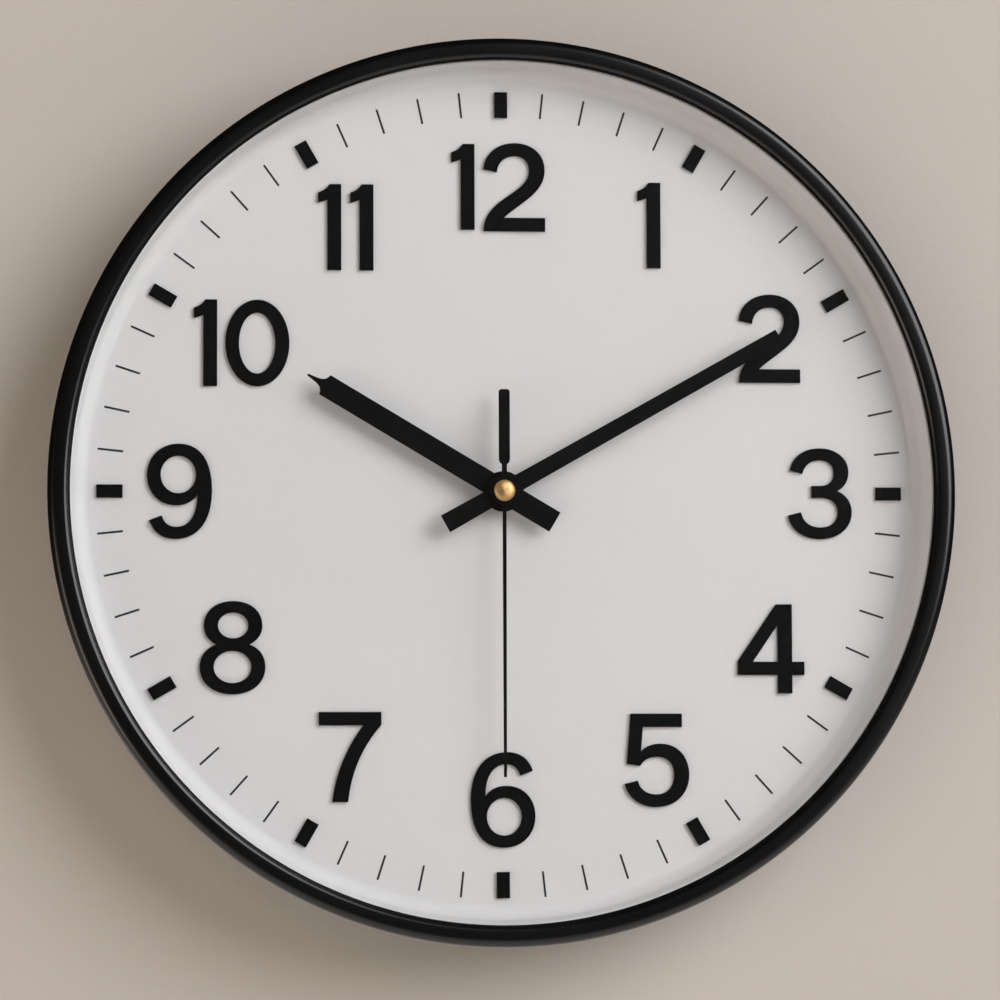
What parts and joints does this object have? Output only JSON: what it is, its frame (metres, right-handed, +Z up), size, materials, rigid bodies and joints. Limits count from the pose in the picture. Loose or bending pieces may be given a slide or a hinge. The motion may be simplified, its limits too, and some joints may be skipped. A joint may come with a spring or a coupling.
{
  "type": "wall clock",
  "caption": "Round battery wall clock with a slim satin black frame, a white dished dial, raised black numerals, black hands, a brass centre cap and a pull-out battery in its quartz movement.",
  "frame": {"origin": "the wall hook: the axis of the nail in the keyhole's slot, on the wall plane, 112 mm above the clock's centre", "axes": "+Z up, +X to the right of someone reading the dial, +Y into the wall, so the dial looks along -Y"},
  "size_m": [0.3, 0.042, 0.3],
  "materials": {
    "satin_black_abs": "satin",
    "clear_lens": "polished",
    "white_dial_paint": "matte",
    "black_rear_abs": "matte",
    "plated_steel": "satin",
    "black_mark_plastic": "satin",
    "black_painted_aluminium": "satin",
    "satin_brass": "satin",
    "movement_case_plastic": "matte",
    "washer_rubber": "matte",
    "acetal": "satin",
    "magnet_ferrite": "satin",
    "silicon_steel": "satin",
    "copper_winding": "satin",
    "board_green": "satin",
    "battery_jacket": "satin"
  },
  "bodies": {
    "case": {"front_frame": "satin_black_abs", "cover_lens": "clear_lens", "dial_plate": "white_dial_paint", "rear_cover": "black_rear_abs", "rear_screw_1": "plated_steel", "rear_screw_2": "plated_steel", "rear_screw_3": "plated_steel", "numeral_1": "black_mark_plastic", "numeral_2": "black_mark_plastic", "numeral_3": "black_mark_plastic", "numeral_4": "black_mark_plastic", "numeral_5": "black_mark_plastic", "numeral_6": "black_mark_plastic", "numeral_7": "black_mark_plastic", "numeral_8": "black_mark_plastic", "numeral_9": "black_mark_plastic", "numeral_10_left": "black_mark_plastic", "numeral_10_right": "black_mark_plastic", "numeral_11_left": "black_mark_plastic", "numeral_11_right": "black_mark_plastic", "numeral_12_left": "black_mark_plastic", "numeral_12_right": "black_mark_plastic", "hour_block_1": "black_mark_plastic", "hour_block_2": "black_mark_plastic", "hour_block_3": "black_mark_plastic", "hour_block_4": "black_mark_plastic", "hour_block_5": "black_mark_plastic", "hour_block_6": "black_mark_plastic", "hour_block_7": "black_mark_plastic", "hour_block_8": "black_mark_plastic", "hour_block_9": "black_mark_plastic", "hour_block_10": "black_mark_plastic", "hour_block_11": "black_mark_plastic", "hour_block_12": "black_mark_plastic", "movement_case": "movement_case_plastic", "movement_cover": "movement_case_plastic", "fixing_nut": "satin_brass", "fixing_washer": "plated_steel", "rubber_washer": "washer_rubber", "train_bridge": "acetal", "stator": "silicon_steel", "coil": "copper_winding", "circuit_board": "board_green", "quartz_crystal": "plated_steel", "battery_contact_positive": "plated_steel", "battery_contact_negative": "plated_steel"},
    "minute": {"cannon_pinion": "plated_steel", "minute_hand": "black_painted_aluminium"},
    "hour": {"hour_wheel": "acetal", "hour_hand": "black_painted_aluminium"},
    "motion": {"motion_wheel": "acetal"},
    "knob": {"setting_knob": "acetal"},
    "second": {"second_wheel": "acetal", "second_hand": "black_painted_aluminium", "second_hand_cap": "satin_brass"},
    "third": {"third_wheel": "acetal"},
    "centre": {"centre_wheel": "acetal"},
    "intermediate": {"intermediate_wheel": "acetal"},
    "motor_rotor": {"rotor": "magnet_ferrite"},
    "cell": {"battery": "battery_jacket"}
  },
  "joints": [
    {"name": "minute_hand_turn", "type": "hinge", "parent": "case", "child": "minute", "pos_m": [0, -0.0335, -0.112], "axis": [0, 1, 0], "continuous": true},
    {"name": "hour_hand_turn", "type": "hinge", "parent": "case", "child": "hour", "pos_m": [0, -0.0317, -0.112], "axis": [0, 1, 0], "continuous": true},
    {"name": "motion_wheel_turn", "type": "hinge", "parent": "case", "child": "motion", "pos_m": [-0.00509, -0.02, -0.10691], "axis": [0, 1, 0], "continuous": true},
    {"name": "setting_knob_turn", "type": "hinge", "parent": "case", "child": "knob", "pos_m": [-0.01018, -0.0052, -0.10182], "axis": [0, 1, 0], "continuous": true},
    {"name": "second_hand_turn", "type": "hinge", "parent": "case", "child": "second", "pos_m": [0, -0.0352, -0.112], "axis": [0, 1, 0], "continuous": true},
    {"name": "third_wheel_turn", "type": "hinge", "parent": "case", "child": "third", "pos_m": [0.0081, -0.02, -0.112], "axis": [0, 1, 0], "continuous": true},
    {"name": "centre_wheel_turn", "type": "hinge", "parent": "case", "child": "centre", "pos_m": [0, -0.02, -0.112], "axis": [0, 1, 0], "continuous": true},
    {"name": "intermediate_wheel_turn", "type": "hinge", "parent": "case", "child": "intermediate", "pos_m": [0, -0.02, -0.1048], "axis": [0, 1, 0], "continuous": true},
    {"name": "rotor_turn", "type": "hinge", "parent": "case", "child": "motor_rotor", "pos_m": [0.00315, -0.02, -0.09934], "axis": [0, 1, 0], "continuous": true},
    {"name": "battery_pull", "type": "slide", "parent": "case", "child": "cell", "axis": [0, 1, 0], "range_m": [0, 0.045]}
  ],
  "couplings": [
    {"joint": "hour_hand_turn", "follows": "minute_hand_turn", "ratio": 0.083333},
    {"joint": "motion_wheel_turn", "follows": "minute_hand_turn", "ratio": -0.33333},
    {"joint": "setting_knob_turn", "follows": "minute_hand_turn", "ratio": 1},
    {"joint": "third_wheel_turn", "follows": "second_hand_turn", "ratio": -0.13333},
    {"joint": "centre_wheel_turn", "follows": "second_hand_turn", "ratio": 0.016667},
    {"joint": "intermediate_wheel_turn", "follows": "second_hand_turn", "ratio": -5},
    {"joint": "rotor_turn", "follows": "second_hand_turn", "ratio": 30}
  ]
}
